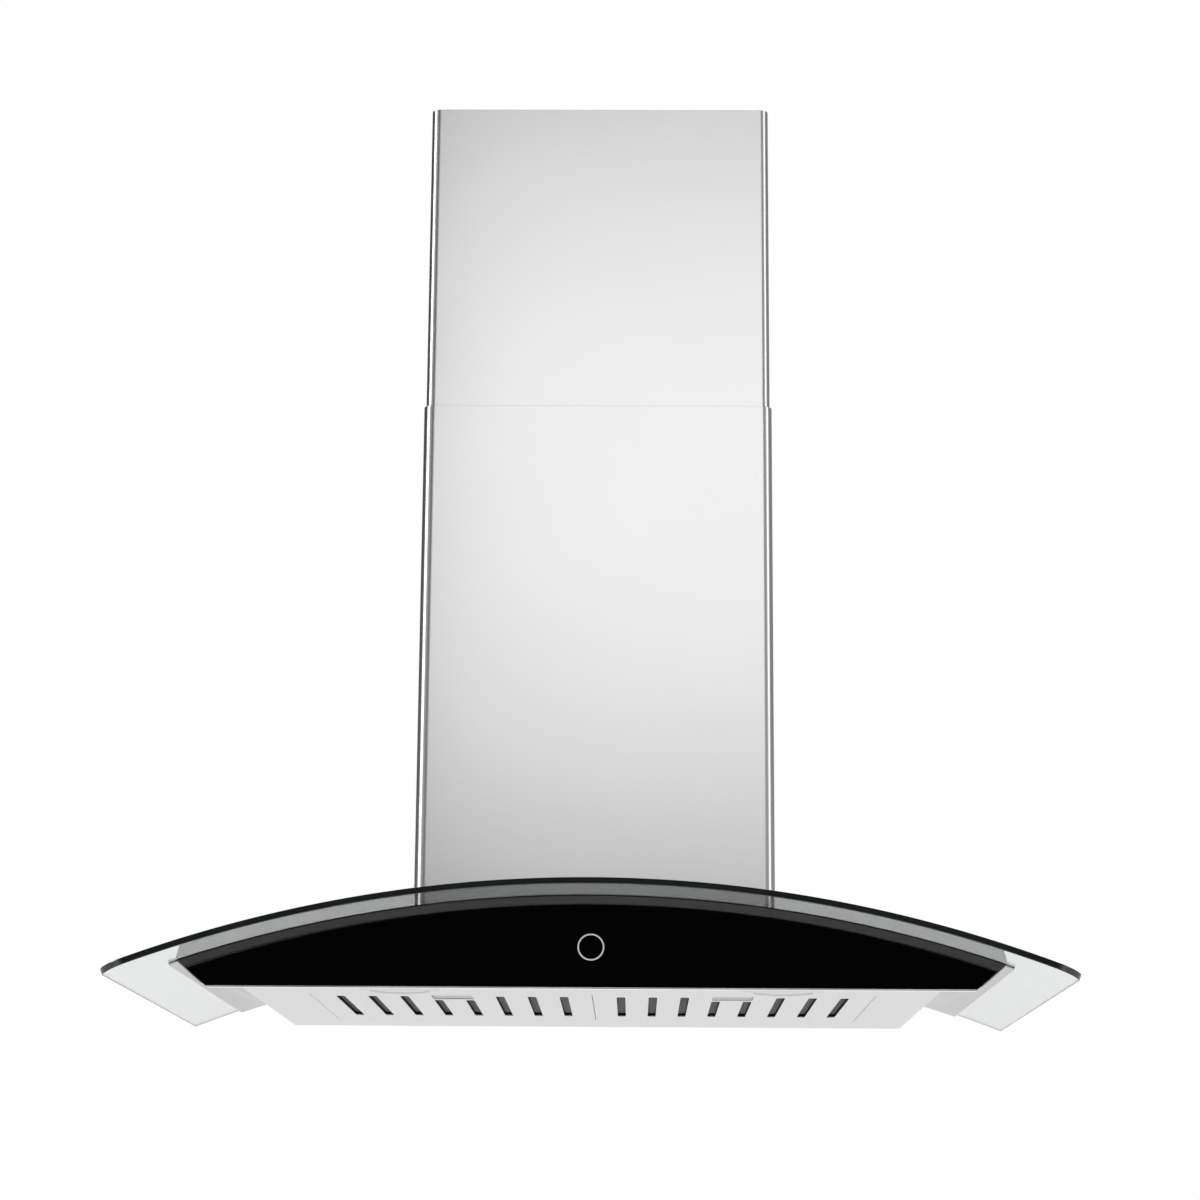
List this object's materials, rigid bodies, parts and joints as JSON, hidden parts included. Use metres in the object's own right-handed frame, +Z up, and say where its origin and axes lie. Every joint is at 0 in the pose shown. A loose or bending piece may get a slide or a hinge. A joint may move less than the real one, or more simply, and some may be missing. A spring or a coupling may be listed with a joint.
{
  "type": "wall-mounted range hood",
  "caption": "Wall-mounted kitchen range hood: arched clear glass canopy over a black glass front, round lamps, slotted steel grease filters and a telescopic steel chimney.",
  "frame": {"origin": "on the wall plane, on the centre line, at the height of the crown of the glass canopy", "axes": "+X to the viewer's right, +Y into the wall, +Z up; the front of the hood faces -Y"},
  "size_m": [0.75, 0.5, 0.8011],
  "materials": {
    "clear_glass": "clear tempered glass, polished edges",
    "black_glass": "black back-painted glass, polished",
    "satin_trim": "dark grey satin strip",
    "ring_print": "light grey touch ring",
    "steel": "fine brushed stainless steel",
    "bright_steel": "polished steel",
    "seal": "black silicone seal",
    "black_plastic": "moulded black plastic",
    "grey_plastic": "moulded grey plastic",
    "white_plastic": "moulded white plastic",
    "lens": "frosted lens",
    "cast_alu": "cast aluminium",
    "mesh_alu": "bright aluminium sheet",
    "galvanised": "zinc-coated sheet steel",
    "board_green": "printed circuit board",
    "screw_steel": "plain steel screws"
  },
  "bodies": {
    "root": {"glass_canopy": "clear_glass", "glass_gasket": "seal", "body_shell": "steel", "bottom_plate": "steel", "front_lip": "bright_steel", "control_panel": "black_glass", "panel_top_trim": "satin_trim", "touch_ring": "ring_print", "control_box": "black_plastic", "control_board": "board_green", "housing_flange": "galvanised", "housing_front": "galvanised", "housing_side_left": "galvanised", "housing_side_right": "galvanised", "housing_lid": "galvanised", "back_plate": "galvanised", "scroll_casing": "grey_plastic", "motor": "cast_alu", "motor_spider": "galvanised", "outlet_collar": "black_plastic", "damper_pin": "screw_steel", "capacitor": "white_plastic", "terminal_box": "black_plastic", "terminal_cover": "black_plastic", "cable_gland": "seal", "lower_chimney": "steel", "lower_chimney_brackets": "galvanised", "lower_chimney_screws": "screw_steel", "housing_screws": "screw_steel", "collar_screws": "screw_steel", "motor_screws": "screw_steel", "lamp_bezel_left": "bright_steel", "lamp_lens_left": "lens", "lamp_module_left": "cast_alu", "lamp_bezel_right": "bright_steel", "lamp_lens_right": "lens", "lamp_module_right": "cast_alu"},
    "upper_chimney": {"upper_chimney": "steel", "upper_chimney_bracket": "galvanised", "upper_chimney_screws": "screw_steel"},
    "filter_left": {"filter_face_left": "steel", "filter_baffle_left": "mesh_alu", "filter_frame_left": "galvanised", "latch_cup_left": "steel"},
    "filter_right": {"filter_face_right": "steel", "filter_baffle_right": "mesh_alu", "filter_frame_right": "galvanised", "latch_cup_right": "steel"},
    "latch_left": {"filter_latch_left": "steel"},
    "latch_right": {"filter_latch_right": "steel"},
    "fan_wheel": {"impeller": "black_plastic", "motor_shaft": "screw_steel"},
    "damper_front": {"damper_flap_front": "black_plastic"},
    "damper_rear": {"damper_flap_rear": "black_plastic"}
  },
  "joints": [
    {"name": "upper_chimney_slide", "type": "slide", "parent": "root", "child": "upper_chimney", "axis": [0, 0, 1], "range_m": [-0.24, 0.1]},
    {"name": "filter_left_hinge", "type": "hinge", "parent": "root", "child": "filter_left", "pos_m": [-0.11425, -0.111, -0.0763], "axis": [1, 0, 0], "range_deg": [0, 80]},
    {"name": "filter_right_hinge", "type": "hinge", "parent": "root", "child": "filter_right", "pos_m": [0.11425, -0.111, -0.0763], "axis": [1, 0, 0], "range_deg": [0, 80]},
    {"name": "latch_left_slide", "type": "slide", "parent": "filter_left", "child": "latch_left", "axis": [0, 1, 0], "range_m": [0, 0.006], "stiffness_N_per_m": 400, "springref_m": -0.003},
    {"name": "latch_right_slide", "type": "slide", "parent": "filter_right", "child": "latch_right", "axis": [0, 1, 0], "range_m": [0, 0.006], "stiffness_N_per_m": 400, "springref_m": -0.003},
    {"name": "fan_spin", "type": "hinge", "parent": "root", "child": "fan_wheel", "pos_m": [0, -0.1135, 0.092], "axis": [1, 0, 0], "continuous": true},
    {"name": "damper_front_hinge", "type": "hinge", "parent": "root", "child": "damper_front", "pos_m": [0, -0.15, 0.252], "axis": [-1, 0, 0], "range_deg": [0, 75]},
    {"name": "damper_rear_hinge", "type": "hinge", "parent": "root", "child": "damper_rear", "pos_m": [0, -0.15, 0.252], "axis": [1, 0, 0], "range_deg": [0, 75]}
  ]
}
